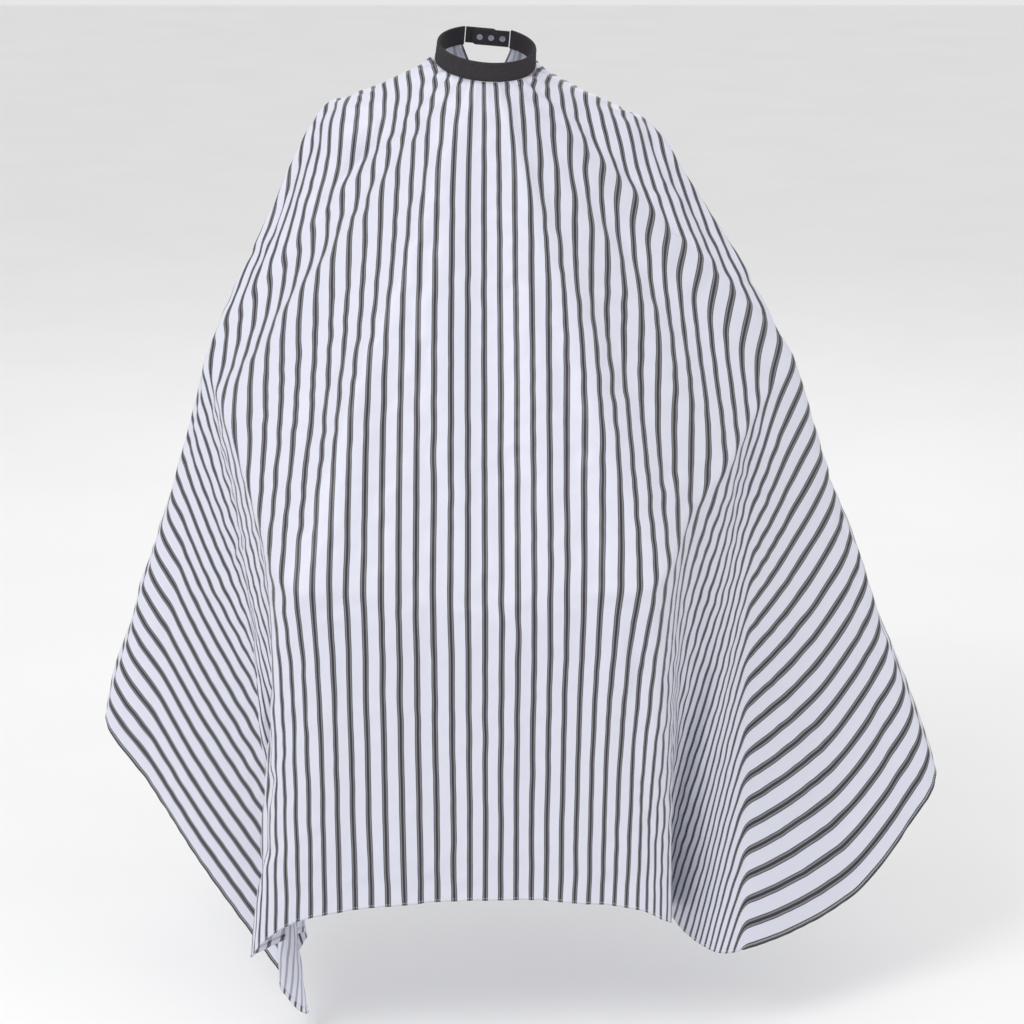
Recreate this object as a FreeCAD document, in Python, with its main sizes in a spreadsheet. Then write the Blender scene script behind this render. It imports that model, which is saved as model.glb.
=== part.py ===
"""Barber cape as it hangs on a seated wearer: a striped sheet with hems and a back slit, gathered into a
black elastic neckband that closes at the nape with a snap tab.

Millimetres. +Z is up, the wearer faces -Y and +X is the wearer's left. The origin is the centre of the
neck opening. The neckband is drawn level, about its own axis, and each of its pieces is then turned by
the same tilt and roll."""

import math
import os

import FreeCAD
import Part
import Sketcher

Vector = FreeCAD.Vector

doc = FreeCAD.newDocument("BarberCape")
sheet = doc.addObject("Spreadsheet::Sheet", "Sizes")

SIZES = [
    ("cape_width", "1600", "flat sheet, side hem to side hem"),
    ("front_length", "1200", "flat sheet, neck centre to front hem"),
    ("back_length", "250", "flat sheet, neck centre to back hem"),
    ("neck_hole_radius", "78", "flat sheet, hole before it is gathered"),
    ("cloth_thickness", "1", "stands in for 0.12 mm of woven polyester"),
    ("hem_width", "6", "turned hem all round the sheet"),
    ("hem_thickness", "0.8", "two turned layers"),
    ("sewn_gap", "0.15", "air between the sheet and what is sewn to it"),
    ("placket_gap", "0.3", "air between the sheet and the slit's facings"),
    ("thread_width", "0.8", "line of lockstitch"),
    ("thread_height", "0.3", "how far a thread stands above the cloth"),
    ("layer_gap", "0.02", "air between layers that are sewn together"),
    ("ring_tilt", "15", "front of the neck opening is lower than the nape"),
    ("ring_roll", "5", "wearer's left side is lower than the right"),
    ("neck_radius", "62", "inside of the closed neckband"),
    ("band_height", "25", "neckband, top to bottom"),
    ("band_flare", "1.5", "the band's lower edge stands out"),
    ("facing_layer", "0.8", "inner layer of the band"),
    ("elastic_layer", "1", "elastic inside the band"),
    ("elastic_height", "20", ""),
    ("cover_layer", "1", "ribbed outer layer of the band"),
    ("closure_half", "30", "half the straight part at the nape"),
    ("tab_height", "22", ""),
    ("tab_layer", "0.5", "cover and facing cloth of each tab"),
    ("tab_core", "0.6", "stiffener inside each tab"),
    ("core_margin", "2", "stiffener is smaller all round"),
    ("tab_corner", "6", "rounded corners of each tab's free end"),
    ("under_tab_face", "53.6", "inner side of the under tab from the neck's axis"),
    ("under_tab_left", "-20", "free end of the under tab"),
    ("under_tab_right", "29", "root of the under tab"),
    ("over_tab_face", "58", "inner side of the over tab from the neck's axis"),
    ("over_tab_left", "-29", "root of the over tab"),
    ("over_tab_right", "12", "free end of the over tab"),
    ("snap_pitch", "15", "between two snaps"),
    ("first_snap", "-10", "snap nearest the over tab's root"),
    ("stud_base_radius", "4.5", ""),
    ("stud_base_height", "0.6", ""),
    ("stud_neck_radius", "1.6", ""),
    ("stud_neck_height", "0.8", ""),
    ("stud_head_radius", "2", ""),
    ("stud_head_height", "0.8", ""),
    ("rivet_radius", "1.2", "pin that holds a stud or a cap"),
    ("rivet_clearance", "0.05", "radial, in every hole a pin goes through"),
    ("rivet_head_radius", "4", ""),
    ("rivet_head_height", "0.6", ""),
    ("socket_radius", "4.5", ""),
    ("socket_height", "1.85", ""),
    ("socket_bore", "2.25", "clears the stud's head by 0.25"),
    ("socket_depth", "1.5", ""),
    ("groove_radius", "3.2", "room for the spring wires"),
    ("groove_height", "0.5", ""),
    ("spring_wire", "0.15", "radius of each wire"),
    ("cap_radius", "5.25", ""),
    ("cap_height", "1.1", ""),
    ("cap_edge", "0.8", "rounding of the cap's rim"),
]

for row, (alias, value, meaning) in enumerate(SIZES, 1):
    sheet.set(f"A{row}", alias)
    sheet.set(f"B{row}", value)
    sheet.set(f"C{row}", meaning)
    sheet.setAlias(f"B{row}", alias)

# Cells worked out from the ones above.
DERIVED = [
    ("closure_angle", "=asin(closure_half / neck_radius) / 1deg"),
    ("band_sweep", "=360 - 2 * closure_angle"),
    ("band_top", "=band_height / 2"),
    ("band_bottom", "=-band_height / 2"),
    ("elastic_top", "=elastic_height / 2"),
    ("elastic_bottom", "=-elastic_height / 2"),
    ("facing_outside", "=neck_radius + facing_layer"),
    ("elastic_inside", "=facing_outside + layer_gap"),
    ("elastic_outside", "=elastic_inside + elastic_layer"),
    ("cover_inside", "=elastic_outside + layer_gap"),
    ("cover_outside", "=cover_inside + cover_layer"),
    ("cover_foot", "=cover_outside + band_flare"),
    ("tab_top", "=tab_height / 2"),
    ("tab_bottom", "=-tab_height / 2"),
    ("core_top", "=tab_top - core_margin"),
    ("core_bottom", "=-core_top"),
    ("under_core_left", "=under_tab_left + core_margin"),
    ("under_core_right", "=under_tab_right - core_margin"),
    ("over_core_left", "=over_tab_left + core_margin"),
    ("over_core_right", "=over_tab_right - core_margin"),
    ("under_core_face", "=under_tab_face + tab_layer + layer_gap"),
    ("under_cover_face", "=under_core_face + tab_core + layer_gap"),
    ("under_tab_outside", "=under_cover_face + tab_layer"),
    ("over_core_face", "=over_tab_face + tab_layer + layer_gap"),
    ("over_cover_face", "=over_core_face + tab_core + layer_gap"),
    ("over_tab_outside", "=over_cover_face + tab_layer"),
    ("pin_hole", "=rivet_radius + rivet_clearance"),
]

for row, (alias, formula) in enumerate(DERIVED, len(SIZES) + 2):
    sheet.set(f"A{row}", alias)
    sheet.set(f"B{row}", formula)
    sheet.setAlias(f"B{row}", alias)
doc.recompute()


def size(alias):
    """The number in the sheet's cell."""
    return float(getattr(sheet, alias))


def cell(alias):
    """How an expression names the sheet's cell."""
    return f"Sizes.{alias}"


BAND_TURN = FreeCAD.Rotation(0, size("ring_roll"), size("ring_tilt"))
BAND_PLACE = FreeCAD.Placement(Vector(0, 0, 0), BAND_TURN)
# A layer of the band is swept both ways from local +X, so a quarter turn puts its gap at the nape.
LAYER_PLACE = BAND_PLACE.multiply(FreeCAD.Placement(Vector(0, 0, 0), FreeCAD.Rotation(Vector(0, 0, 1), -90)))

parts = []


def keep(item):
    """Marks an object as one sub-part, written to its own file."""
    item.Label = item.Name
    parts.append(item)
    return item


# ---------------------------------------------------------------- sketches


def new_body(name, place):
    body = doc.addObject("PartDesign::Body", name)
    body.Placement = place
    return keep(body)


def new_sketch(body, name, role):
    plane = [item for item in body.Origin.OriginFeatures if item.Role == role][0]
    sketch = body.newObject("Sketcher::SketchObject", name)
    sketch.AttachmentSupport = [(plane, "")]
    sketch.MapMode = "FlatFace"
    return sketch


def pin_down(sketch, line, point, kind, alias):
    """Fixes one coordinate of a point to a cell of the sheet, whatever its sign."""
    value = size(alias)
    if value < 0:
        index = sketch.addConstraint(Sketcher.Constraint(kind, line, point, -1, 1, -value))
        sketch.setExpression(f"Constraints[{index}]", f"-{cell(alias)}")
    else:
        index = sketch.addConstraint(Sketcher.Constraint(kind, -1, 1, line, point, value))
        sketch.setExpression(f"Constraints[{index}]", cell(alias))


def add_outline(sketch, corners):
    """A closed outline of straight lines through corners given as pairs of cell names."""
    points = [Vector(size(x), size(y), 0) for x, y in corners]
    for i, point in enumerate(points):
        sketch.addGeometry(Part.LineSegment(point, points[(i + 1) % len(points)]))
    for i, (x, y) in enumerate(corners):
        sketch.addConstraint(Sketcher.Constraint("Coincident", i, 2, (i + 1) % len(corners), 1))
        pin_down(sketch, i, 1, "DistanceX", x)
        pin_down(sketch, i, 1, "DistanceY", y)


# ---------------------------------------------------------------- neckband layers


def band_layer(name, corners):
    """One layer of the neckband: a profile swept about the neck's axis, open at the nape."""
    body = new_body(name, LAYER_PLACE)
    sketch = new_sketch(body, f"{name}_profile", "XZ_Plane")
    add_outline(sketch, corners)
    sweep = body.newObject("PartDesign::Revolution", f"{name}_sweep")
    sweep.Profile = sketch
    sweep.ReferenceAxis = (sketch, ["V_Axis"])
    sweep.Midplane = True
    sweep.setExpression("Angle", cell("band_sweep"))
    body.Tip = sweep
    return body


band_layer(
    "neckband_facing",
    [
        ("neck_radius", "band_bottom"),
        ("facing_outside", "band_bottom"),
        ("facing_outside", "band_top"),
        ("neck_radius", "band_top"),
    ],
)
band_layer(
    "neckband_elastic",
    [
        ("elastic_inside", "elastic_bottom"),
        ("elastic_outside", "elastic_bottom"),
        ("elastic_outside", "elastic_top"),
        ("elastic_inside", "elastic_top"),
    ],
)
band_layer(
    "neckband_cover",
    [
        ("cover_inside", "band_bottom"),
        ("cover_foot", "band_bottom"),
        ("cover_outside", "band_top"),
        ("cover_inside", "band_top"),
    ],
)


def thread_ring(name, height):
    """A row of stitching round the outside of the band."""
    lean = size("band_flare") * (size("band_top") - height) / size("band_height")
    radius = size("cover_outside") + lean + size("thread_height") / 2 + size("layer_gap") * 2
    ring = doc.addObject("Part::Torus", name)
    ring.Radius1 = radius
    ring.setExpression("Radius2", f"{cell('thread_height')} / 2")
    ring.setExpression("Angle3", cell("band_sweep"))
    spin = FreeCAD.Rotation(Vector(0, 0, 1), 90 + size("closure_angle"))
    ring.Placement = BAND_PLACE.multiply(FreeCAD.Placement(Vector(0, 0, height), spin))
    return ring


band_rows = doc.addObject("Part::Compound", "neckband_thread")
band_rows.Links = [
    thread_ring("thread_row_top", size("band_top") - 3),
    thread_ring("thread_row_bottom", size("band_bottom") + 3),
]
keep(band_rows)


# ---------------------------------------------------------------- closure tabs

SNAPS_OVER = 2
SNAPS_UNDER = 3


def tab_layer(name, left, right, bottom, top, face, thickness, rounded, snaps):
    """One layer of a tab: a pad from its inner face outwards, rounded at the free end, with pin holes."""
    body = new_body(name, BAND_PLACE)
    sketch = new_sketch(body, f"{name}_outline", "XZ_Plane")
    sketch.setExpression("AttachmentOffset.Base.z", f"-{cell(face)}")
    add_outline(sketch, [(left, bottom), (right, bottom), (right, top), (left, top)])
    pad = body.newObject("PartDesign::Pad", f"{name}_pad")
    pad.Profile = sketch
    pad.Reversed = True
    pad.setExpression("Length", cell(thickness))
    body.Tip = pad
    doc.recompute()

    end = size(left) if rounded == "left" else size(right)
    corners = []
    for i, edge in enumerate(pad.Shape.Edges, 1):
        middle = edge.CenterOfMass
        runs_through = abs(edge.Length - size(thickness)) < 0.01
        if runs_through and abs(middle.x - end) < 0.01:
            corners.append(f"Edge{i}")
    rounding = body.newObject("PartDesign::Fillet", f"{name}_corners")
    rounding.Base = (pad, corners)
    rounding.setExpression("Radius", cell("tab_corner"))
    body.Tip = rounding
    doc.recompute()

    holes = new_sketch(body, f"{name}_hole_plan", "XZ_Plane")
    holes.setExpression("AttachmentOffset.Base.z", f"-{cell(face)}")
    holes.addGeometry(Part.Circle(Vector(size("first_snap"), 0, 0), Vector(0, 0, 1), size("pin_hole")))
    holes.addConstraint(Sketcher.Constraint("PointOnObject", 0, 3, -1))
    pin_down(holes, 0, 3, "DistanceX", "first_snap")
    index = holes.addConstraint(Sketcher.Constraint("Radius", 0, size("pin_hole")))
    holes.setExpression(f"Constraints[{index}]", cell("pin_hole"))
    cut = body.newObject("PartDesign::Pocket", f"{name}_hole")
    cut.Profile = holes
    cut.Type = "ThroughAll"
    cut.Midplane = True
    body.Tip = cut
    doc.recompute()
    row = body.newObject("PartDesign::LinearPattern", f"{name}_holes")
    row.Originals = [cut]
    row.Direction = (holes, ["H_Axis"])
    row.Mode = "Spacing"
    row.setExpression("Offset", cell("snap_pitch"))
    row.Occurrences = snaps
    body.Tip = row
    return body


UNDER = ("under_tab_left", "under_tab_right", "tab_bottom", "tab_top")
UNDER_CORE = ("under_core_left", "under_core_right", "core_bottom", "core_top")
OVER = ("over_tab_left", "over_tab_right", "tab_bottom", "tab_top")
OVER_CORE = ("over_core_left", "over_core_right", "core_bottom", "core_top")

tab_layer("under_tab_facing", *UNDER, "under_tab_face", "tab_layer", "left", SNAPS_UNDER)
tab_layer("under_tab_stiffener", *UNDER_CORE, "under_core_face", "tab_core", "left", SNAPS_UNDER)
tab_layer("under_tab_cover", *UNDER, "under_cover_face", "tab_layer", "left", SNAPS_UNDER)
tab_layer("over_tab_facing", *OVER, "over_tab_face", "tab_layer", "right", SNAPS_OVER)
tab_layer("over_tab_stiffener", *OVER_CORE, "over_core_face", "tab_core", "right", SNAPS_OVER)
tab_layer("over_tab_cover", *OVER, "over_cover_face", "tab_layer", "right", SNAPS_OVER)


# ---------------------------------------------------------------- snaps


def disc(name, radius, start, length, x):
    """A cylinder standing on the local plane y = start, pointing away from the neck."""
    item = doc.addObject("Part::Cylinder", name)
    if isinstance(radius, str):
        item.setExpression("Radius", cell(radius))
    else:
        item.Radius = radius
    item.Height = length
    outwards = FreeCAD.Rotation(Vector(1, 0, 0), -90)
    item.Placement = BAND_PLACE.multiply(FreeCAD.Placement(Vector(x, start, 0), outwards))
    return item


def fuse(name, items):
    result = doc.addObject("Part::MultiFuse", name)
    result.Shapes = items
    return result


def cut_out(name, base, tool):
    result = doc.addObject("Part::Cut", name)
    result.Base = base
    result.Tool = tool
    return result


def snap_x(index):
    return size("first_snap") + index * size("snap_pitch")


stud_start = size("under_tab_outside") + size("layer_gap")
neck_start = stud_start + size("stud_base_height")
head_start = neck_start + size("stud_neck_height")
head_end = head_start + size("stud_head_height")
pin_end = head_start + size("stud_head_height") / 2
socket_end = size("over_tab_face") - size("layer_gap")
socket_start = socket_end - size("socket_height")
wire_middle = (neck_start + head_start) / 2 + 0.1


def stud(index):
    """Domed stud on the under tab, hollow for its rivet."""
    x = snap_x(index)
    solid = fuse(
        f"stud_{index}_body",
        [
            disc(f"stud_{index}_base", "stud_base_radius", stud_start, size("stud_base_height"), x),
            disc(f"stud_{index}_neck", "stud_neck_radius", stud_start, head_end - stud_start, x),
            disc(f"stud_{index}_head", "stud_head_radius", head_start, size("stud_head_height"), x),
        ],
    )
    hollow = disc(f"stud_{index}_hollow", "pin_hole", stud_start - 0.1, pin_end + 0.15 - stud_start, x)
    return cut_out(f"stud_{index}", solid, hollow)


def rivet(index):
    """Flat-headed rivet behind the under tab, its pin inside the stud."""
    x = snap_x(index)
    head_top = size("under_tab_face") - size("layer_gap")
    head = disc(
        f"rivet_{index}_head",
        "rivet_head_radius",
        head_top - size("rivet_head_height"),
        size("rivet_head_height"),
        x,
    )
    pin = disc(f"rivet_{index}_pin", "rivet_radius", head_top - 0.1, pin_end + 0.1 - head_top, x)
    return fuse(f"rivet_{index}", [head, pin])


def socket(index):
    """Ring on the over tab's inner side that the stud's head goes into, grooved for its spring."""
    x = snap_x(index)
    ring = disc(f"socket_{index}_ring", "socket_radius", socket_start, size("socket_height"), x)
    bore = disc(f"socket_{index}_bore", "socket_bore", socket_start - 0.1, size("socket_depth") + 0.1, x)
    groove = disc(
        f"socket_{index}_groove",
        "groove_radius",
        wire_middle - size("groove_height") / 2,
        size("groove_height"),
        x,
    )
    pin = disc(f"socket_{index}_pin_hole", "pin_hole", socket_start, size("socket_height") + 0.1, x)
    return cut_out(f"socket_{index}", ring, fuse(f"socket_{index}_hollow", [bore, groove, pin]))


def spring_wires(index):
    """Two straight wires across the socket, one on each side of the stud's neck."""
    wires = []
    reach = size("stud_neck_radius") + size("spring_wire") + 0.05
    half = math.sqrt(size("groove_radius") ** 2 - (reach + size("spring_wire")) ** 2) - 0.05
    for side in (-1, 1):
        wire = doc.addObject("Part::Cylinder", f"wire_{index}_{'a' if side < 0 else 'b'}")
        wire.setExpression("Radius", cell("spring_wire"))
        wire.Height = 2 * half
        start = Vector(snap_x(index) + side * reach, wire_middle, -half)
        wire.Placement = BAND_PLACE.multiply(FreeCAD.Placement(start, FreeCAD.Rotation()))
        wires.append(wire)
    return wires


def cap(index):
    """Domed cap outside the over tab, its pin through the tab into the socket."""
    x = snap_x(index)
    start = size("over_tab_outside") + size("layer_gap")
    blank = disc(f"cap_{index}_blank", "cap_radius", start, size("cap_height"), x)
    doc.recompute()
    rim = []
    furthest = Vector(x, start + size("cap_height"), 0)
    for i, edge in enumerate(blank.Shape.Edges, 1):
        if (edge.CenterOfMass - BAND_PLACE.multVec(furthest)).Length < 0.01:
            rim.append((i, size("cap_edge"), size("cap_edge")))
    dome = doc.addObject("Part::Fillet", f"cap_{index}_dome")
    dome.Base = blank
    dome.Edges = rim
    pin_start = socket_start + size("socket_depth") + 0.1
    pin = disc(f"cap_{index}_pin", "rivet_radius", pin_start, start + 0.2 - pin_start, x)
    return fuse(f"cap_{index}", [dome, pin])


def group(name, items):
    """Identical pieces share one node and stay separate solids."""
    result = doc.addObject("Part::Compound", name)
    result.Links = items
    return keep(result)


group("snap_studs", [stud(i) for i in range(SNAPS_UNDER)])
group("stud_rivets", [rivet(i) for i in range(SNAPS_UNDER)])
group("snap_sockets", [socket(i) for i in range(SNAPS_OVER)])
group("socket_springs", [wire for i in range(SNAPS_OVER) for wire in spring_wires(i)])
group("snap_caps", [cap(i) for i in range(SNAPS_OVER)])


# ---------------------------------------------------------------- tab stitching

STITCH_MARGIN = 2


def stitch_line(name, start, end):
    """A straight run of thread, standing out from the tab's outer face."""
    line = doc.addObject("Part::Cylinder", name)
    line.setExpression("Radius", f"{cell('thread_height')} / 2")
    line.Height = (end - start).Length
    turn = FreeCAD.Rotation(Vector(0, 0, 1), end - start)
    line.Placement = BAND_PLACE.multiply(FreeCAD.Placement(start, turn))
    return line


def stitch_rows(name, left, right, outside, rounded):
    """Rows of stitching along the long edges of a tab and across its root."""
    y = size(outside) + size("thread_height") / 2 + size("layer_gap")
    z = size("tab_top") - STITCH_MARGIN / 2
    low = size(left) + (size("tab_corner") if rounded == "left" else STITCH_MARGIN)
    high = size(right) - (size("tab_corner") if rounded == "right" else STITCH_MARGIN)
    root = size(right) - STITCH_MARGIN / 2 if rounded == "left" else size(left) + STITCH_MARGIN / 2
    rows = [
        stitch_line(f"{name}_top", Vector(low, y, z), Vector(high, y, z)),
        stitch_line(f"{name}_bottom", Vector(low, y, -z), Vector(high, y, -z)),
        stitch_line(f"{name}_root", Vector(root, y, 1 - z), Vector(root, y, z - 1)),
    ]
    return group(name, rows)


stitch_rows("under_tab_thread", "under_tab_left", "under_tab_right", "under_tab_outside", "left")
stitch_rows("over_tab_thread", "over_tab_left", "over_tab_right", "over_tab_outside", "right")


# ---------------------------------------------------------------- how the sheet hangs
#
# A point of the flat sheet is (x, y) from the neck's centre, with the front at -y. It is reached along a
# straight ray from the neck. Each ray runs from the neckband down to a bearing point, where the cloth
# rests on the wearer (shoulder, elbow, hand or knee), and from there hangs to the hem.

# Bearing points: ray angle from the front (positive towards +X), then x, y, z.
BEARING = [
    (-180, -15, 95, -45, 120),
    (-140, -95, 100, -60, 155),
    (-107.35, -175, 85, -85, 230),
    (-84, -225, 35, -75, 279),
    (-60, -315, 0, -255, 430),
    (-47.8, -360, -30, -360, 520),
    (-43.8, -373, -50, -399, 578),
    (-40, -360, -75, -420, 595),
    (-33.69, -345, -130, -450, 625),
    (-28.6, -315, -210, -500, 668),
    (-23, -285, -280, -560, 730),
    (-17.6, -248, -365, -619, 793),
    (-11.3, -165, -370, -628, 800),
    (0, 0, -370, -639, 800),
    (10, 140, -370, -625, 795),
    (15.4, 215, -365, -613, 775),
    (22, 265, -270, -550, 720),
    (28, 315, -200, -500, 668),
    (33.69, 345, -140, -460, 635),
    (40, 380, -90, -420, 613),
    (42.4, 410, -50, -399, 608),
    (47, 385, -30, -355, 530),
    (60, 335, 0, -265, 430),
    (84, 222, 35, -95, 279),
    (107.35, 175, 85, -95, 230),
    (140, 95, 100, -65, 155),
    (180, 15, 95, -50, 120),
]

# Hem points: the same.
HEM = [
    (-180, -20, 135, -170),
    (-140, -130, 145, -225),
    (-107.35, -300, 150, -680),
    (-84, -380, 90, -575),
    (-60, -455, 20, -745),
    (-47.8, -514, -110, -880),
    (-43.8, -470, -160, -960),
    (-40, -420, -215, -1045),
    (-33.69, -300, -300, -1195),
    (-28.6, -290, -320, -1150),
    (-23, -285, -335, -1105),
    (-17.6, -280, -350, -1075),
    (-11.3, -235, -370, -1045),
    (0, 0, -370, -1035),
    (10, 190, -370, -1045),
    (15.4, 240, -350, -1070),
    (22, 262, -335, -1100),
    (28, 290, -315, -1140),
    (33.69, 330, -300, -1165),
    (40, 450, -225, -1055),
    (42.4, 520, -165, -970),
    (47, 588, -100, -900),
    (60, 510, 20, -750),
    (84, 405, 90, -590),
    (107.35, 320, 150, -690),
    (140, 130, 145, -235),
    (180, 20, 135, -180),
]


def through(stations, angle):
    """A smooth curve through the stations, read at one angle."""
    last = len(stations) - 2
    i = 0
    while i < last and angle > stations[i + 1][0]:
        i += 1
    before = stations[max(i - 1, 0)]
    start = stations[i]
    end = stations[i + 1]
    after = stations[min(i + 2, last + 1)]
    step = end[0] - start[0]
    u = (angle - start[0]) / step
    point = []
    for k in range(1, len(start)):
        slope_in = (end[k] - before[k]) / (end[0] - before[0]) * step
        slope_out = (after[k] - start[k]) / (after[0] - start[0]) * step
        value = (
            (2 * u**3 - 3 * u**2 + 1) * start[k]
            + (u**3 - 2 * u**2 + u) * slope_in
            + (3 * u**2 - 2 * u**3) * end[k]
            + (u**3 - u**2) * slope_out
        )
        point.append(value)
    return point


def reach(angle):
    """Flat distance from the neck's centre to the edge of the sheet along a ray."""
    across = abs(math.sin(math.radians(angle)))
    ahead = math.cos(math.radians(angle))
    half_width = size("cape_width") / 2
    depth = size("front_length") if ahead > 0 else size("back_length")
    distances = []
    if across > 1e-9:
        distances.append(half_width / across)
    if abs(ahead) > 1e-9:
        distances.append(depth / abs(ahead))
    return min(distances)


SEAM_GAP = 0.3
ROUNDING = 0.09


def neck_point(angle):
    """Where a ray leaves the neckband, just under its lower edge."""
    turn = math.radians(angle * (180 - size("closure_angle")) / 180)
    radius = size("cover_outside") + size("cloth_thickness")
    local = Vector(radius * math.sin(turn), -radius * math.cos(turn), size("band_bottom") - SEAM_GAP)
    return BAND_PLACE.multVec(local)


def along(legs, share):
    """A point at a share of the flat length of two straight legs, each (start, end, flat length)."""
    left = share * sum(length for start, end, length in legs)
    start, end, length = legs[0]
    if left > length:
        left -= length
        start, end, length = legs[1]
    return start + (end - start) * (left / length)


def hang(x, y):
    """Where a point of the flat sheet hangs."""
    angle = math.degrees(math.atan2(x, -y))
    distance = math.hypot(x, y)
    hole = size("neck_hole_radius")
    share = (distance - hole) / (reach(angle) - hole)
    *place, bearing_distance = through(BEARING, angle)
    bearing = Vector(*place)
    foot = Vector(*through(HEM, angle))
    legs = [
        (neck_point(angle), bearing, bearing_distance - hole),
        (bearing, foot, reach(angle) - bearing_distance),
    ]
    window = min(ROUNDING, share, 1 - share)
    total = Vector(0, 0, 0)
    samples = 5
    for k in range(samples):
        total += along(legs, share + window * (2 * k / (samples - 1) - 1))
    return total * (1 / samples)


def flat(angle, distance):
    """Flat coordinates of a point on a ray."""
    turn = math.radians(angle)
    return (distance * math.sin(turn), -distance * math.cos(turn))


def outwards(x, y):
    """Unit normal of the hanging sheet at a flat point, pointing away from the wearer."""
    angle = math.degrees(math.atan2(x, -y))
    distance = math.hypot(x, y)
    hole = size("neck_hole_radius")
    low = max(distance - 4, hole)
    high = min(distance + 4, reach(angle) - 0.01)
    left = max(angle - 0.7, -179.99)
    right = min(angle + 0.7, 179.99)
    down = hang(*flat(angle, high)) - hang(*flat(angle, low))
    share = (distance - hole) / (reach(angle) - hole)
    share = min(max(share, 0.01), 0.99)
    near = hang(*flat(left, hole + share * (reach(left) - hole)))
    far = hang(*flat(right, hole + share * (reach(right) - hole)))
    normal = (far - near).cross(down) * -1
    return normal.normalize()


def cloth_solid(rows, outer, inner):
    """A closed solid between two depths below the sheet's outer face. Each row is a list of flat points."""
    ribs = []
    for row in rows:
        points = [hang(x, y) for x, y in row]
        normals = [outwards(x, y) for x, y in row]
        rib = []
        for depth in (outer, inner):
            curve = Part.BSplineCurve()
            curve.interpolate([p - n * depth for p, n in zip(points, normals)])
            rib.append(curve)
        ribs.append(rib)

    def across(rib, end):
        """The short line through the cloth at one end of a rib."""
        parameter = [curve.FirstParameter if end == 0 else curve.LastParameter for curve in rib]
        return Part.makeLine(rib[0].value(parameter[0]), rib[1].value(parameter[1]))

    faces = []
    for near, far in zip(ribs, ribs[1:]):
        for side in (0, 1):
            faces.append(Part.makeRuledSurface(near[side].toShape(), far[side].toShape()))
        for end in (0, 1):
            faces.append(Part.makeRuledSurface(across(near, end), across(far, end)))
    for rib in (ribs[0], ribs[-1]):
        faces.append(Part.makeRuledSurface(rib[0].toShape(), rib[1].toShape()))
    skin = Part.makeCompound(faces)
    skin.sewShape()
    solid = Part.makeSolid(skin.Shells[0])
    if solid.Volume < 0:
        solid.reverse()
    return solid


def cloth_part(name, solids):
    item = doc.addObject("Part::Feature", name)
    item.Shape = Part.makeCompound(solids) if len(solids) > 1 else solids[0]
    return keep(item)


def spread(first, last, count):
    """Evenly spaced numbers from first to last."""
    return [first + (last - first) * i / (count - 1) for i in range(count)]


corner_angle = math.degrees(math.atan2(size("cape_width") / 2, size("front_length")))
back_corner = 180 - math.degrees(math.atan2(size("cape_width") / 2, size("back_length")))

# Each side of the sheet: first and last ray, and how many rays. Every strip sewn to the sheet uses the
# same rays, so that it follows the sheet's face exactly.
EDGE = 1e-6
SIDES = {
    "back_left": (-180 + EDGE, -back_corner, 25),
    "left": (-back_corner, -corner_angle, 29),
    "front": (-corner_angle, corner_angle, 41),
    "right": (corner_angle, back_corner, 29),
    "back_right": (back_corner, 180 - EDGE, 25),
}

angles = []
for first, last, count in SIDES.values():
    angles += spread(first, last, count)[0 if not angles else 1 :]

POINTS_PER_RAY = 19
panel_rows = []
for angle in angles:
    distances = spread(size("neck_hole_radius"), reach(angle), POINTS_PER_RAY)
    panel_rows.append([flat(angle, distance) for distance in distances])
cloth_part("cape_panel", [cloth_solid(panel_rows, 0, size("cloth_thickness"))])


def inset(side, angle, depth):
    """Distance along a ray to the line that lies depth in from one side of the sheet."""
    turn = math.radians(angle)
    square = abs(math.sin(turn)) if side in ("left", "right") else abs(math.cos(turn))
    return reach(angle) - depth / square


def edge_strip(side, near, far, outer, inner):
    """A strip along one side of the sheet, between two depths in from its edge."""
    rows = []
    for angle in spread(*SIDES[side]):
        distances = spread(inset(side, angle, far), inset(side, angle, near), 3)
        rows.append([flat(angle, distance) for distance in distances])
    return cloth_solid(rows, outer, inner)


inside = size("cloth_thickness") + size("sewn_gap")
hem_inside = inside + size("hem_thickness")
for side in SIDES:
    cloth_part(f"{side}_hem", [edge_strip(side, 0.1, size("hem_width"), inside, hem_inside)])

stitch = size("hem_width") - 2
raised = -size("thread_height") - size("sewn_gap")
cloth_part(
    "hem_thread",
    [
        edge_strip(side, stitch - size("thread_width"), stitch, raised, -size("sewn_gap"))
        for side in SIDES
    ],
)


facing_outer = size("cloth_thickness") + size("placket_gap")


def placket(side):
    """Facing along one edge of the back slit, wider towards the hem."""
    rows = []
    for angle in spread(*SIDES["back_right"])[-3:]:
        distances = spread(size("neck_hole_radius"), reach(angle), POINTS_PER_RAY)
        rows.append([flat(side * angle, distance) for distance in distances[1:-2]])
    return cloth_solid(rows, facing_outer, facing_outer + size("hem_thickness"))

cloth_part("left_placket", [placket(-1)])
cloth_part("right_placket", [placket(1)])


# ---------------------------------------------------------------- checks and files

doc.recompute()
for item in doc.Objects:
    bad = [state for state in item.State if state in ("Invalid", "Error")]
    if bad:
        raise RuntimeError(f"{item.Name} is {bad}")

os.makedirs("parts", exist_ok=True)
for item in parts:
    shape = item.Shape
    if shape.isNull() or not shape.isValid():
        raise RuntimeError(f"{item.Label} has no valid shape")
    if not shape.Solids or shape.Volume <= 0:
        raise RuntimeError(f"{item.Label} has no solid")
    shape.exportStep(f"parts/{item.Label}.step")
    print(f"{item.Label}: {len(shape.Solids)} solids, {shape.Volume:.1f} mm3")
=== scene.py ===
"""Looks of the barber cape: the striped sheet starts from a shaped surface and is softened by a short cloth
simulation over a seated stand-in figure, which is then taken away. The neckband, hems and snaps are dressed
on the CAD model.

Metres, +Z up, the wearer faces -Y. The origin is the centre of the neck opening."""

import math

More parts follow.
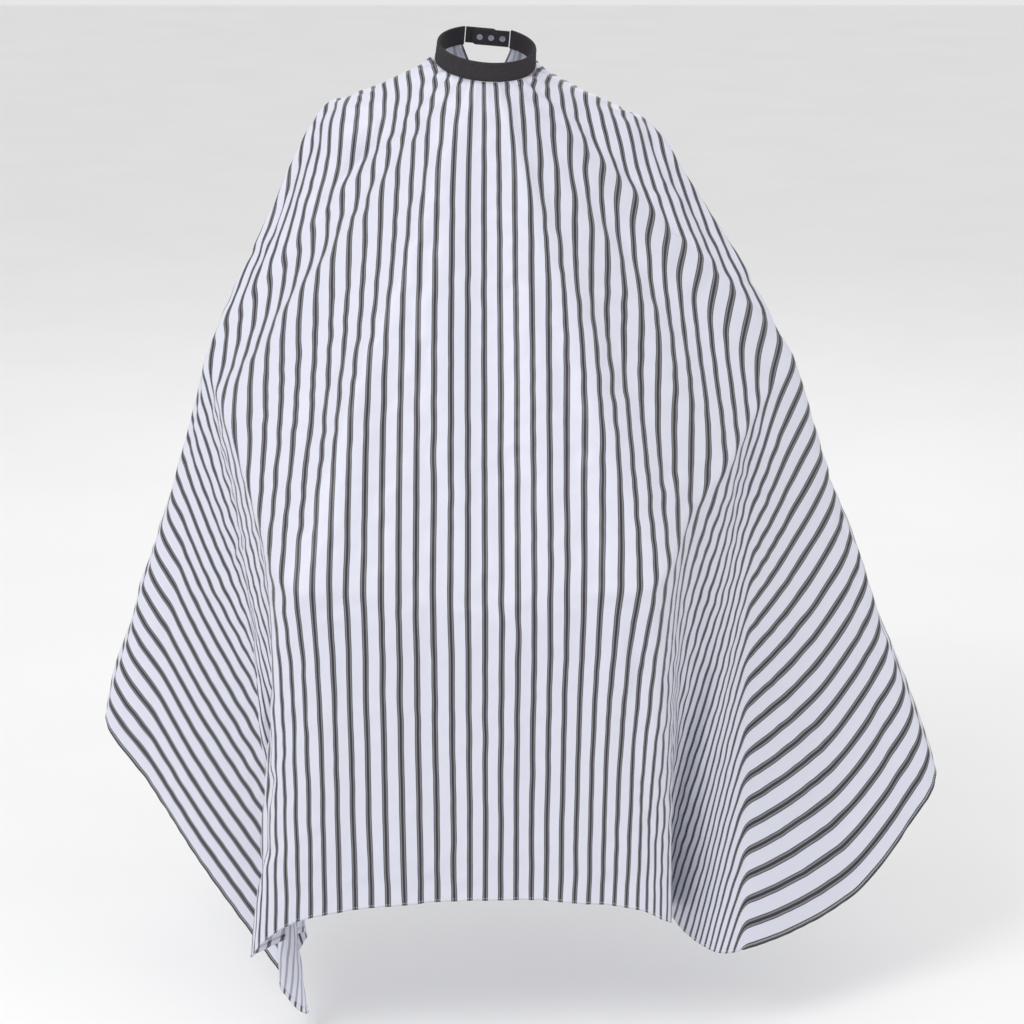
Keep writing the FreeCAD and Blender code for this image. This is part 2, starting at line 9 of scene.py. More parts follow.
import bmesh
import bpy
import numpy as np
from mathutils import Euler, Matrix, Vector, noise as waves


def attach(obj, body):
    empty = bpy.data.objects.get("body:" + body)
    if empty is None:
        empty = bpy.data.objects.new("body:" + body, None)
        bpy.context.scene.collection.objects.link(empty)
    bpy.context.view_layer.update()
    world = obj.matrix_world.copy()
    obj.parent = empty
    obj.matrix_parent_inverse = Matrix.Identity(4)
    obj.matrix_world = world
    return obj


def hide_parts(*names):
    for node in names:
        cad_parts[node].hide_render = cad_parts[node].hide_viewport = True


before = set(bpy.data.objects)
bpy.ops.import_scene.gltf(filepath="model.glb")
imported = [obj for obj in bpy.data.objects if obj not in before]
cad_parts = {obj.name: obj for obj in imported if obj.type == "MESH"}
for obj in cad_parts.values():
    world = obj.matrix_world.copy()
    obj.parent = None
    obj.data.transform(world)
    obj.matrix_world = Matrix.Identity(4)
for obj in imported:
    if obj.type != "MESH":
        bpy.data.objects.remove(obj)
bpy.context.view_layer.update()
scene = bpy.context.scene

# ---------------------------------------------------------------- sizes

CAPE_WIDTH = 1.60
FRONT_LENGTH = 1.20
BACK_LENGTH = 0.25
NECK_HOLE = 0.078
HEM = 0.006
STRIPE_PITCH = 0.0205
GRID = 0.0125
CLOTH_THICKNESS = 0.0004
STRIP_INSET = 0.0006

BAND_TILT = math.radians(15)
BAND_ROLL = math.radians(5)
BAND_HEIGHT = 0.025
CLOSURE_HALF = 0.030
CLOSURE_ANGLE = math.asin(CLOSURE_HALF / 0.062)
BAND_TURN = Euler((BAND_TILT, BAND_ROLL, 0), "XYZ").to_matrix()

SETTLE_FRAMES = 40
SHAPE_HOLD = 0.5
SLACK = 0.03
FOLD_DEPTH = 0.0045
FOLD_ACROSS = 0.055
FOLD_ALONG = 0.30
GATHERS = 22
GATHER_DEPTH = 0.0030
GATHER_FADE = 0.045
STITCH_PITCH = 0.0033
STITCH_WIDTH = 0.0008
STITCH_GAP = 0.14
RIBS = 116
RIB_SAMPLES = 8
RIB_DEPTH = 0.0005
BAND_TOP = 0.06484
BAND_FOOT = 0.06634
BAND_THICKNESS = 0.0006
BLACK_HALF = 0.00125
GREY_HALF = 0.0027
DARK_HALF = 0.0037
CLOTH_WHITE = (0.68, 0.69, 0.79)
LINE_BLACK = (0.012, 0.012, 0.018)
LINE_GREY = (0.19, 0.19, 0.21)
LINE_DARK = (0.065, 0.065, 0.080)
FLOOR_LEVEL = -1.26
SEAM_RADIUS = 0.0662
SEAM_LEVEL = -0.0128

# ---------------------------------------------------------------- where the sheet starts
#
# A ray of the flat sheet leaves the neckband, crosses a bearing point on the wearer and hangs from there.
# Bearing stations: ray angle from the front (positive towards +X), then x, y, z and the flat distance from
# the neck's centre. Hem stations: ray angle, then x, y, z of the sheet's edge.

BEARING = [
    (-180, -0.015, 0.095, -0.045, 0.120),
    (-140, -0.095, 0.100, -0.060, 0.155),
    (-107.35, -0.175, 0.085, -0.085, 0.230),
    (-84, -0.225, 0.035, -0.075, 0.279),
    (-60, -0.315, 0.000, -0.255, 0.430),
    (-47.8, -0.360, -0.030, -0.360, 0.520),
    (-43.8, -0.373, -0.050, -0.399, 0.578),
    (-40, -0.360, -0.075, -0.420, 0.595),
    (-33.69, -0.345, -0.130, -0.450, 0.625),
    (-28.6, -0.315, -0.210, -0.500, 0.668),
    (-23, -0.285, -0.280, -0.560, 0.730),
    (-17.6, -0.248, -0.365, -0.619, 0.793),
    (-11.3, -0.165, -0.370, -0.628, 0.800),
    (0, 0.000, -0.370, -0.639, 0.800),
    (10, 0.140, -0.370, -0.625, 0.795),
    (15.4, 0.215, -0.365, -0.613, 0.775),
    (22, 0.265, -0.270, -0.550, 0.720),
    (28, 0.315, -0.200, -0.500, 0.668),
    (33.69, 0.345, -0.140, -0.460, 0.635),
    (40, 0.380, -0.090, -0.420, 0.613),
    (42.4, 0.410, -0.050, -0.399, 0.608),
    (47, 0.385, -0.030, -0.355, 0.530),
    (60, 0.335, 0.000, -0.265, 0.430),
    (84, 0.222, 0.035, -0.095, 0.279),
    (107.35, 0.175, 0.085, -0.095, 0.230),
    (140, 0.095, 0.100, -0.065, 0.155),
    (180, 0.015, 0.095, -0.050, 0.120),
]
HEM_LINE = [
    (-180, -0.020, 0.135, -0.170),
    (-140, -0.130, 0.145, -0.225),
    (-107.35, -0.300, 0.150, -0.680),
    (-84, -0.380, 0.090, -0.575),
    (-60, -0.455, 0.020, -0.745),
    (-47.8, -0.514, -0.110, -0.880),
    (-43.8, -0.450, -0.160, -0.960),
    (-40, -0.385, -0.210, -1.045),
    (-33.69, -0.239, -0.300, -1.215),
    (-28.6, -0.270, -0.280, -1.195),
    (-23, -0.240, -0.240, -1.135),
    (-17.6, -0.304, -0.355, -1.120),
    (-11.3, -0.235, -0.370, -1.062),
    (0, 0.000, -0.370, -1.035),
    (10, 0.185, -0.370, -1.045),
    (15.4, 0.237, -0.345, -1.075),
    (22, 0.235, -0.230, -1.100),
    (28, 0.275, -0.290, -1.125),
    (33.69, 0.335, -0.300, -1.135),
    (40, 0.485, -0.205, -1.100),
    (42.4, 0.560, -0.155, -1.030),
    (47, 0.606, -0.110, -0.950),
    (60, 0.510, 0.020, -0.750),
    (84, 0.405, 0.090, -0.590),
    (107.35, 0.320, 0.150, -0.690),
    (140, 0.130, 0.145, -0.235),
    (180, 0.020, 0.135, -0.180),
]


def through(stations, angle):
    """A smooth curve through the stations, read at one angle."""
    last = len(stations) - 2
    i = 0
    while i < last and angle > stations[i + 1][0]:
        i += 1
    before = stations[max(i - 1, 0)]
    start = stations[i]
    end = stations[i + 1]
    after = stations[min(i + 2, last + 1)]
    step = end[0] - start[0]
    u = (angle - start[0]) / step
    point = []
    for k in range(1, len(start)):
        slope_in = (end[k] - before[k]) / (end[0] - before[0]) * step
        slope_out = (after[k] - start[k]) / (after[0] - start[0]) * step
        value = (2 * u**3 - 3 * u**2 + 1) * start[k]
        value += (u**3 - 2 * u**2 + u) * slope_in
        value += (3 * u**2 - 2 * u**3) * end[k]
        value += (u**3 - u**2) * slope_out
        point.append(value)
    return point


def reach(angle):
    """Flat distance from the neck's centre to the edge of the sheet along a ray, in degrees."""
    across = abs(math.sin(math.radians(angle)))
    ahead = math.cos(math.radians(angle))
    depth = FRONT_LENGTH if ahead > 0 else BACK_LENGTH
    to_side = CAPE_WIDTH / 2 / max(across, 1e-9)
    to_end = depth / max(abs(ahead), 1e-9)
    return min(to_side, to_end)


def ring_point(angle, radius, height):
    """A point of the neckband, turned like the band, for a ray of the flat sheet in degrees."""
    turn = math.radians(angle) * (math.pi - CLOSURE_ANGLE) / math.pi
    return BAND_TURN @ Vector((radius * math.sin(turn), -radius * math.cos(turn), height))


def hang(x, y, side):
    """Where a point of the flat sheet starts. side tells the two edges of the back slit apart."""
    angle = math.degrees(math.atan2(x, -y))
    if side and abs(x) < 1e-9 and y > 0:
        angle = 180 * side
    distance = math.hypot(x, y)
    *place, bearing_distance = through(BEARING, angle)
    bearing = Vector(place)
    if distance < bearing_distance:
        share = (distance - NECK_HOLE) / (bearing_distance - NECK_HOLE)
        return ring_point(angle, SEAM_RADIUS, SEAM_LEVEL).lerp(bearing, share)
    share = (distance - bearing_distance) / (reach(angle) - bearing_distance)
    return bearing.lerp(Vector(through(HEM_LINE, angle)), share)


# ---------------------------------------------------------------- stand-in figure


def new_object(name, mesh):
    item = bpy.data.objects.new(name, mesh)
    scene.collection.objects.link(item)
    return item


def limb(name, *balls):
    """The smooth body wrapped tightly round some balls, each (x, y, z, radius)."""
    shape = bmesh.new()
    for x, y, z, radius in balls:
        place = Matrix.Translation((x, y, z))
        bmesh.ops.create_icosphere(shape, subdivisions=4, radius=radius, matrix=place)
    inner = bmesh.ops.convex_hull(shape, input=shape.verts)["geom_interior"]
    bmesh.ops.delete(shape, geom=[v for v in inner if isinstance(v, bmesh.types.BMVert)], context="VERTS")
    mesh = bpy.data.meshes.new(name)
    shape.to_mesh(mesh)
    shape.free()
    return new_object(name, mesh)


def seated_figure():
    """Neck, trunk, legs, and arms with the hands on the knees."""
    figure = [
        limb("neck", (0, 0.015, -0.08, 0.058), (0, -0.01, 0.12, 0.055)),
        limb(
            "trunk",
            (-0.085, 0.03, -0.20, 0.090),
            (0.085, 0.03, -0.20, 0.090),
            (-0.05, 0.01, -0.45, 0.115),
            (0.05, 0.01, -0.45, 0.115),
        ),
        limb(
            "lap",
            (-0.14, 0.05, -0.65, 0.085),
            (0.14, 0.05, -0.65, 0.085),
            (-0.19, -0.31, -0.675, 0.055),
            (0.155, -0.31, -0.672, 0.055),
        ),
        limb(
            "shins",
            (-0.19, -0.31, -0.675, 0.055),
            (0.155, -0.31, -0.672, 0.055),
            (-0.24, -0.32, -0.98, 0.045),
            (0.18, -0.32, -0.98, 0.045),
        ),
    ]
    arms = {
        -1: ((-0.165, 0.035, -0.125), (-0.330, -0.020, -0.405), (-0.215, -0.300, -0.590)),
        1: ((0.160, 0.035, -0.140), (0.362, -0.020, -0.405), (0.185, -0.300, -0.585)),
    }
    for side, (shoulder, elbow, hand) in arms.items():
        tag = "right" if side < 0 else "left"
        figure.append(limb(f"{tag}_nape", (side * 0.035, 0.03, -0.060, 0.040), (*shoulder, 0.055)))
        figure.append(limb(f"{tag}_upper_arm", (*shoulder, 0.050), (*elbow, 0.030)))
        figure.append(limb(f"{tag}_forearm", (*elbow, 0.030), (*hand, 0.035)))
    return figure


# ---------------------------------------------------------------- the sheet


def sheet_lines():
    """Grid lines of the flat sheet: one hem width in from each edge, and evenly between."""
    columns = int(round((CAPE_WIDTH / 2 - HEM) / GRID))
    half = np.linspace(0, CAPE_WIDTH / 2 - HEM, columns + 1)
    xs = np.concatenate([[-CAPE_WIDTH / 2], -half[:0:-1], half, [CAPE_WIDTH / 2]])
    rows_front = int(round((FRONT_LENGTH - HEM) / GRID))
    rows_back = int(round((BACK_LENGTH - HEM) / GRID))
    front = np.linspace(-(FRONT_LENGTH - HEM), 0, rows_front + 1)
    back = np.linspace(0, BACK_LENGTH - HEM, rows_back + 1)[1:]
    ys = np.concatenate([[-FRONT_LENGTH], front, back, [BACK_LENGTH]])
    return xs, ys


def build_sheet():
    """Flat points, start points, faces and the points along the neck hole."""
    xs, ys = sheet_lines()
    middle = len(xs) // 2
    index = {}
    flat = []
    sides = []
    faces = []
    for j in range(len(ys) - 1):
        for i in range(len(xs) - 1):
            centre = ((xs[i] + xs[i + 1]) / 2, (ys[j] + ys[j + 1]) / 2)
            if math.hypot(*centre) < NECK_HOLE:
                continue
            side = -1 if centre[0] < 0 else 1
            face = []
            for a, b in ((i, j), (i + 1, j), (i + 1, j + 1), (i, j + 1)):
                on_slit = a == middle and ys[b] > 1e-6
                key = (a, b, side if on_slit else 0)
                if key not in index:
                    index[key] = len(flat)
                    flat.append([xs[a], ys[b]])
                    sides.append(side if on_slit else 0)
                face.append(index[key])
            faces.append(tuple(face))
    flat = np.array(flat)

    edge_uses = {}
    for face in faces:
        for a, b in zip(face, face[1:] + face[:1]):
            key = (min(a, b), max(a, b))
            edge_uses[key] = edge_uses.get(key, 0) + 1
    border = {v for key, uses in edge_uses.items() if uses == 1 for v in key}
    radius = np.hypot(flat[:, 0], flat[:, 1])
    slit_top = min(radius[v] for v in border if sides[v])
    hole = []
    for v in border:
        if radius[v] < NECK_HOLE + 2 * GRID and not (sides[v] and radius[v] > slit_top + 1e-6):
            hole.append(v)
    for v in hole:
        flat[v] *= NECK_HOLE / radius[v]
    start = [hang(x, y, side) for (x, y), side in zip(flat, sides)]
    return flat, start, faces, sorted(hole)


def simulate(cape, hole, figure):
    """Softens the sheet over the figure while springs hold it near its start, and keeps the result."""
    for body in figure:
        body.modifiers.new("collision", "COLLISION")
        body.collision.thickness_outer = 0.004
        body.collision.thickness_inner = 0.03
        body.collision.cloth_friction = 2
    held = cape.vertex_groups.new(name="held")
    held.add(range(len(cape.data.vertices)), SHAPE_HOLD, "REPLACE")
    held.add([int(v) for v in hole], 1.0, "REPLACE")
    cloth = cape.modifiers.new("cloth", "CLOTH")
    settings = cloth.settings
    settings.vertex_group_mass = "held"
    settings.quality = 7
    settings.mass = 0.03
    settings.shrink_min = -SLACK
    settings.tension_stiffness = 40
    settings.compression_stiffness = 40
    settings.shear_stiffness = 12
    settings.bending_model = "ANGULAR"
    settings.bending_stiffness = 0.8
    settings.tension_damping = 8
    settings.compression_damping = 8
    settings.shear_damping = 6
    settings.bending_damping = 0.6
    settings.air_damping = 2
    cloth.collision_settings.collision_quality = 3
    cloth.collision_settings.distance_min = 0.004
    cloth.point_cache.frame_start = 1
    cloth.point_cache.frame_end = SETTLE_FRAMES
    scene.frame_start = 1
    scene.frame_end = SETTLE_FRAMES
    for number in range(1, SETTLE_FRAMES + 1):
        scene.frame_set(number)
    graph = bpy.context.evaluated_depsgraph_get()
    settled = cape.evaluated_get(graph)
    points = np.empty(len(settled.data.vertices) * 3)
    settled.data.vertices.foreach_get("co", points)
    cape.modifiers.remove(cloth)
    cape.data.vertices.foreach_set("co", points)
    cape.data.update()
    scene.frame_set(1)


flat, start, faces, hole = build_sheet()
cape_mesh = bpy.data.meshes.new("cape_cloth")
cape_mesh.from_pydata([tuple(point) for point in start], [], faces)
cape = new_object("cape_cloth", cape_mesh)
flat_layer = cape_mesh.uv_layers.new(name="flat")
for loop in cape_mesh.loops:
    flat_layer.data[loop.index].uv = flat[loop.vertex_index]
figure = seated_figure()
simulate(cape, hole, figure)
for body in figure:
    bpy.data.objects.remove(body)
for polygon in cape_mesh.polygons:
    polygon.use_smooth = True


# ---------------------------------------------------------------- finer cloth, with its gathers


def object_points(item):
    points = np.empty(len(item.data.vertices) * 3)
    item.data.vertices.foreach_get("co", points)
    return points.reshape(-1, 3)


def object_normals(item):
    normals = np.empty(len(item.data.vertices) * 3)
    item.data.vertex_normals.foreach_get("vector", normals)
    return normals.reshape(-1, 3)


def flat_points(item):
    """The flat coordinates of each vertex, from the flat layer."""
    count = len(item.data.loops)
    corner = np.empty(count, dtype=np.int32)
    item.data.loops.foreach_get("vertex_index", corner)
    coordinates = np.empty(count * 2)
    item.data.uv_layers["flat"].uv.foreach_get("vector", coordinates)
    points = np.zeros((len(item.data.vertices), 2))
    points[corner] = coordinates.reshape(-1, 2)
    return points


def refined(item):
    """The same sheet with each face split in four on a smooth surface."""
    smooth = item.modifiers.new("smooth", "SUBSURF")
    smooth.levels = 1
    smooth.render_levels = 1
    smooth.uv_smooth = "NONE"
    smooth.boundary_smooth = "PRESERVE_CORNERS"
    graph = bpy.context.evaluated_depsgraph_get()
    mesh = bpy.data.meshes.new_from_object(item.evaluated_get(graph))
    item.modifiers.clear()
    item.data = mesh
    return item


def gather(item):
    """Puckers where the sheet is drawn into the neckband, and soft long folds further down."""
    points = object_points(item)
    flat_at = flat_points(item)
    normals = object_normals(item)
    radius = np.hypot(flat_at[:, 0], flat_at[:, 1])
    angle = np.arctan2(flat_at[:, 0], -flat_at[:, 1])
    near = np.clip((radius - NECK_HOLE) / 0.006, 0, 1)
    depth = GATHER_DEPTH * near * np.exp(-np.maximum(radius - NECK_HOLE, 0) / GATHER_FADE)
    wave = np.sin(GATHERS * angle + 0.9 * np.sin(3 * angle) + 0.5 * np.sin(7 * angle))
    folds = [waves.noise(Vector((x / FOLD_ACROSS, y / FOLD_ALONG, 0.5))) for x, y in flat_at]
    folds = FOLD_DEPTH * np.array(folds) * np.clip((radius - NECK_HOLE) / 0.10, 0, 1)
    item.data.vertices.foreach_set("co", (points + normals * (depth * wave + folds)[:, None]).ravel())
    item.data.update()


def cut_out(name, source, chosen, lift):
    """A strip made of some of the sheet's faces, moved along their normals."""
    shape = bmesh.new()
    shape.from_mesh(source.data)
    shape.faces.ensure_lookup_table()
    chosen = set(int(k) for k in chosen)
    spare = [face for face in shape.faces if face.index not in chosen]
    for vertex in shape.verts:
        vertex.co += vertex.normal * lift
    bmesh.ops.delete(shape, geom=spare, context="FACES")
    mesh = bpy.data.meshes.new(name)
    shape.to_mesh(mesh)
    shape.free()
    return new_object(name, mesh)


def thicken(item, thickness, offset=-1.0):
    solid = item.modifiers.new("thickness", "SOLIDIFY")
    solid.thickness = thickness
    solid.offset = offset
    solid.use_even_offset = False
    return item


def face_centres(item):
    """Flat coordinates of the middle of each face."""
    flat_at = flat_points(item)
    return np.array([flat_at[list(p.vertices)].mean(axis=0) for p in item.data.polygons])


def stitch_row(shape, points, normals):
    """Short raised dashes along a row of surface points."""
    steps = np.linalg.norm(np.diff(points, axis=0), axis=1)
    along = np.concatenate([[0], np.cumsum(steps)])
    count = int(along[-1] / STITCH_PITCH)
    for k in range(count):
        ends = []
        for place in ((k + STITCH_GAP) * STITCH_PITCH, (k + 1 - STITCH_GAP) * STITCH_PITCH):
            i = min(int(np.searchsorted(along, place)), len(points) - 1)
            i = max(i, 1)
            share = (place - along[i - 1]) / max(along[i] - along[i - 1], 1e-9)
            point = points[i - 1] + (points[i] - points[i - 1]) * share
            ends.append((Vector(point), Vector(normals[i])))
        a, up = ends[0]
        b = ends[1][0]
        sideways = up.cross(b - a)
        if sideways.length < 1e-9:
            continue
        sideways = sideways.normalized() * STITCH_WIDTH / 2
        low = up * 0.00005
        high = up * (0.00005 + STITCH_WIDTH)
        middle = (a + b) / 2
        corners = [a + low, middle + sideways + low, b + low, middle - sideways + low, middle + high]
        made = [shape.verts.new(corner) for corner in corners]
        for i, j in ((0, 1), (1, 2), (2, 3), (3, 0)):
            shape.faces.new((made[i], made[j], made[4]))


def hem_stitches(item):
    """The white stitch line inside each edge of the sheet, half a hem width from it."""
    points = object_points(item)
    flat_at = flat_points(item)
    normals = object_normals(item)
    half = CAPE_WIDTH / 2 - HEM / 2
    rows = [
        np.abs(flat_at[:, 0] - half) < 1e-4,
        np.abs(flat_at[:, 0] + half) < 1e-4,
        np.abs(flat_at[:, 1] + FRONT_LENGTH - HEM / 2) < 1e-4,
        (np.abs(flat_at[:, 1] - BACK_LENGTH + HEM / 2) < 1e-4) & (flat_at[:, 0] > 1e-4),
        (np.abs(flat_at[:, 1] - BACK_LENGTH + HEM / 2) < 1e-4) & (flat_at[:, 0] < -1e-4),
    ]
    shape = bmesh.new()
    for row, axis in zip(rows, (1, 1, 0, 0, 0)):
        chosen = np.where(row)[0]
        chosen = chosen[np.argsort(flat_at[chosen, axis], kind="stable")]
        stitch_row(shape, points[chosen], normals[chosen])
    mesh = bpy.data.meshes.new("hem_stitching")
    shape.to_mesh(mesh)
    shape.free()
    return new_object("hem_stitching", mesh)


def gathered_band():
    """The black cover of the neckband, drawn into fine upright ribs by its elastic."""
    around = RIBS * RIB_SAMPLES
    rows = 12
    shape = bmesh.new()
    grid = []
    for j in range(rows + 1):
        level = j / rows * 2 - 1
        swell = 1 - level**4
        line = []
        for i in range(around + 1):
            angle = -180 + 360 * i / around
            phase = math.tau * i / RIB_SAMPLES + 0.8 * math.sin(i * 0.021) + 0.35 * level
            rib = RIB_DEPTH * (0.25 + 0.75 * swell) * (0.5 + 0.5 * math.cos(phase))
            radius = BAND_TOP + (BAND_FOOT - BAND_TOP) * (1 - level) / 2 - RIB_DEPTH + rib
            line.append(shape.verts.new(ring_point(angle, radius, BAND_HEIGHT / 2 * level)))
        grid.append(line)
    for low, high in zip(grid, grid[1:]):
        for i in range(around):
            shape.faces.new((low[i], low[i + 1], high[i + 1], high[i]))
    mesh = bpy.data.meshes.new("neckband_cloth")
    shape.to_mesh(mesh)
    shape.free()
    for polygon in mesh.polygons:
        polygon.use_smooth = True
    return new_object("neckband_cloth", mesh)


# ---------------------------------------------------------------- materials


def new_material(name):
    """A material with an empty node tree, its shader and a maker of linked nodes."""
    material = bpy.data.materials.new(name)
    material.use_nodes = True
    tree = material.node_tree
    tree.nodes.clear()
    output = tree.nodes.new("ShaderNodeOutputMaterial")
    shader = tree.nodes.new("ShaderNodeBsdfPrincipled")
    tree.links.new(shader.outputs["BSDF"], output.inputs["Surface"])
    return material, tree, shader


def noise(tree, place, scale, detail=2.0):
    texture = tree.nodes.new("ShaderNodeTexNoise")
    texture.inputs["Scale"].default_value = scale
    texture.inputs["Detail"].default_value = detail
    tree.links.new(place, texture.inputs["Vector"])
    return texture.outputs["Fac"]


def ramp(tree, value, stops, mode="LINEAR"):
    """Colours along a value. Each stop is (place, grey or colour)."""
    node = tree.nodes.new("ShaderNodeValToRGB")
    node.color_ramp.interpolation = mode
    while len(node.color_ramp.elements) < len(stops):
        node.color_ramp.elements.new(0.5)
    for element, (place, colour) in zip(node.color_ramp.elements, stops):
        element.position = place
        element.color = (*colour, 1)
    tree.links.new(value, node.inputs["Fac"])
    return node.outputs["Color"]


def arithmetic(tree, operation, first, second=None):
    node = tree.nodes.new("ShaderNodeMath")
    node.operation = operation
    tree.links.new(first, node.inputs[0])
    if second is not None:
        node.inputs[1].default_value = second
    return node.outputs[0]


def add_bump(tree, shader, height, strength, distance):
    bump = tree.nodes.new("ShaderNodeBump")
    bump.inputs["Strength"].default_value = strength
    bump.inputs["Distance"].default_value = distance
    tree.links.new(height, bump.inputs["Height"])
    tree.links.new(bump.outputs["Normal"], shader.inputs["Normal"])


def striped_material(name, fade):
    """White cloth with a black line between two thinner grey ones. fade is how far the dye shows paler."""
    material, tree, shader = new_material(name)
    layer = tree.nodes.new("ShaderNodeUVMap")
    layer.uv_map = "flat"
    parts = tree.nodes.new("ShaderNodeSeparateXYZ")
    tree.links.new(layer.outputs["UV"], parts.inputs["Vector"])
    repeat = arithmetic(tree, "DIVIDE", parts.outputs["X"], STRIPE_PITCH)
    shifted = arithmetic(tree, "ADD", repeat, 100.5)
    across = arithmetic(tree, "FRACT", shifted)
    centred = arithmetic(tree, "SUBTRACT", across, 0.5)
    off_line = arithmetic(tree, "ABSOLUTE", centred)
    half = arithmetic(tree, "MULTIPLY", off_line, 2)

    def paler(colour):
        return tuple(c + (w - c) * fade for c, w in zip(colour, CLOTH_WHITE))

    stripe = ramp(
        tree,
        half,
        [
            (0, paler(LINE_BLACK)),
            (BLACK_HALF / (STRIPE_PITCH / 2), paler(LINE_GREY)),
            (GREY_HALF / (STRIPE_PITCH / 2), paler(LINE_DARK)),
            (DARK_HALF / (STRIPE_PITCH / 2), CLOTH_WHITE),
        ],
        "CONSTANT",
    )
    threads = noise(tree, layer.outputs["UV"], 1400, 1)
    mottle = ramp(tree, threads, [(0.3, (0.94, 0.94, 0.94)), (0.7, (1, 1, 1))])
    blend = tree.nodes.new("ShaderNodeMix")
    blend.data_type = "RGBA"
    blend.blend_type = "MULTIPLY"
    blend.inputs[0].default_value = 1
    tree.links.new(stripe, blend.inputs[6])
    tree.links.new(mottle, blend.inputs[7])
    tree.links.new(blend.outputs[2], shader.inputs["Base Color"])
    shader.inputs["Roughness"].default_value = 0.46
    shader.inputs["Sheen Weight"].default_value = 0.15
    add_bump(tree, shader, threads, 0.15, 0.0003)
    return material


def plain_material(name, dark, light, scale, roughness, metallic=0.0, bump=0.2):
    """A material whose colour wanders between two tones on a fine grain."""
    material, tree, shader = new_material(name)
    place = tree.nodes.new("ShaderNodeTexCoord").outputs["Object"]
    grain = noise(tree, place, scale)
    tree.links.new(ramp(tree, grain, [(0.3, dark), (0.7, light)]), shader.inputs["Base Color"])
    shader.inputs["Roughness"].default_value = roughness
    shader.inputs["Metallic"].default_value = metallic
    add_bump(tree, shader, grain, bump, 0.0002)
    return material


# ---------------------------------------------------------------- dressing

refined(cape)
gather(cape)
centres = face_centres(cape)
at_side = np.abs(centres[:, 0]) > CAPE_WIDTH / 2 - HEM
at_front = centres[:, 1] < -(FRONT_LENGTH - HEM)
at_back = centres[:, 1] > BACK_LENGTH - HEM
at_slit = (np.abs(centres[:, 0]) < GRID * 1.01) & (centres[:, 1] > 0) & ~at_back
on_left = centres[:, 0] < 0
strips = {
    "front_hem": at_front,
    "left_hem": at_side & on_left & ~at_front,
    "right_hem": at_side & ~on_left & ~at_front,
    "back_left_hem": at_back & on_left & ~at_side,
    "back_right_hem": at_back & ~on_left & ~at_side,
    "left_placket": at_slit & on_left,
    "right_placket": at_slit & ~on_left,
}

outside = striped_material("striped_cloth", 0.0)
inside = striped_material("striped_cloth_inside", 0.45)
white_thread = plain_material("white_thread", (0.72, 0.72, 0.74), (0.92, 0.92, 0.94), 900, 0.6)
black_band = plain_material("black_band", (0.010, 0.008, 0.011), (0.032, 0.026, 0.034), 700, 0.75)
black_thread = plain_material("black_thread", (0.012, 0.012, 0.013), (0.045, 0.045, 0.048), 1500, 0.55)
elastic = plain_material("elastic", (0.03, 0.03, 0.03), (0.075, 0.075, 0.075), 1200, 0.8)
interfacing = plain_material("interfacing", (0.70, 0.70, 0.67), (0.88, 0.88, 0.85), 800, 0.9)
snap_metal = plain_material("snap_metal", (0.55, 0.55, 0.57), (0.78, 0.78, 0.80), 250, 0.22, 1.0, 0.03)

for node, chosen in strips.items():
    strip = cut_out(f"{node}_cloth", cape, np.where(chosen)[0], -STRIP_INSET)
    strip.data.materials.append(outside)
    thicken(strip, CLOTH_THICKNESS)
    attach(strip, "cape")
    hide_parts(node)

stitching = hem_stitches(cape)
stitching.data.materials.append(white_thread)
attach(stitching, "cape")
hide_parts("hem_thread")

cape.data.materials.clear()
cape.data.materials.append(outside)
cape.data.materials.append(inside)
thicken(cape, CLOTH_THICKNESS)
cape.modifiers["thickness"].material_offset = 1
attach(cape, "cape")
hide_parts("cape_panel")

band = gathered_band()
band.data.materials.append(black_band)
thicken(band, BAND_THICKNESS)
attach(band, "cape")
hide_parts("neckband_cover")

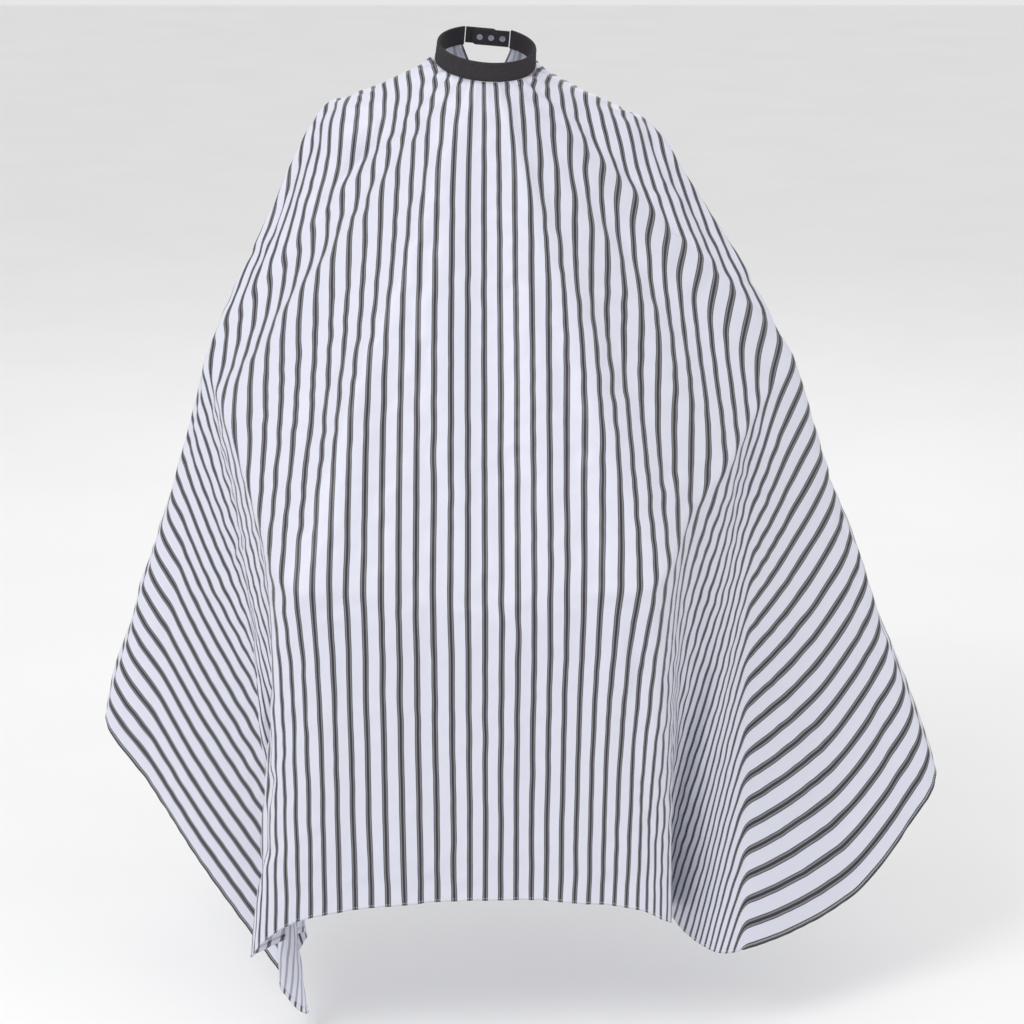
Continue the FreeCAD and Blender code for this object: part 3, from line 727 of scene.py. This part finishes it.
finishes = {
    "neckband_elastic": elastic,
    "neckband_facing": black_band,
    "neckband_thread": black_thread,
    "under_tab_cover": black_band,
    "under_tab_stiffener": interfacing,
    "under_tab_facing": black_band,
    "under_tab_thread": black_thread,
    "over_tab_cover": black_band,
    "over_tab_stiffener": interfacing,
    "over_tab_facing": black_band,
    "over_tab_thread": black_thread,
    "snap_caps": snap_metal,
    "snap_sockets": snap_metal,
    "socket_springs": snap_metal,
    "snap_studs": snap_metal,
    "stud_rivets": snap_metal,
}
for node, material in finishes.items():
    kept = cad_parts[node]
    kept.data.materials.clear()
    kept.data.materials.append(material)

# ---------------------------------------------------------------- floor, light and camera


def area_light(name, place, target, size, power):
    lamp = bpy.data.lights.new(name, "AREA")
    lamp.energy = power
    lamp.size = size
    item = bpy.data.objects.new(name, lamp)
    scene.collection.objects.link(item)
    item.location = place
    item.rotation_euler = (Vector(target) - Vector(place)).to_track_quat("-Z", "Y").to_euler()
    return item


FLOOR_REACH = 12.0
floor_mesh = bpy.data.meshes.new("floor")
floor_mesh.from_pydata(
    [
        (-FLOOR_REACH, -FLOOR_REACH, FLOOR_LEVEL),
        (FLOOR_REACH, -FLOOR_REACH, FLOOR_LEVEL),
        (FLOOR_REACH, FLOOR_REACH, FLOOR_LEVEL),
        (-FLOOR_REACH, FLOOR_REACH, FLOOR_LEVEL),
    ],
    [],
    [(0, 1, 2, 3)],
)
floor = new_object("floor", floor_mesh)
floor.data.materials.append(plain_material("pale_floor", (0.88, 0.88, 0.88), (0.90, 0.90, 0.90), 3, 0.9))
lamps = [
    area_light("key_light", (-1.9, -2.6, 2.2), (0, -0.1, -0.5), 1.8, 62),
    area_light("fill_light", (2.4, -2.2, 1.0), (0, -0.1, -0.5), 2.4, 8),
    area_light("back_light", (0.4, 2.8, 2.0), (0, 0, -0.4), 2.0, 25),
]

world = bpy.data.worlds.new("studio")
world.use_nodes = True
world.node_tree.nodes["Background"].inputs["Color"].default_value = (1, 1, 1, 1)
world.node_tree.nodes["Background"].inputs["Strength"].default_value = 0.8
scene.world = world
scene.view_settings.view_transform = "Standard"

camera_data = bpy.data.cameras.new("photo_camera")
camera_data.sensor_width = 36
camera_data.lens = 107.3
camera = bpy.data.objects.new("photo_camera", camera_data)
scene.collection.objects.link(camera)
camera.location = (0.0338, -3.9975, 0.502)
camera.rotation_euler = (math.radians(90 - 15.71), 0, 0)
scene.camera = camera
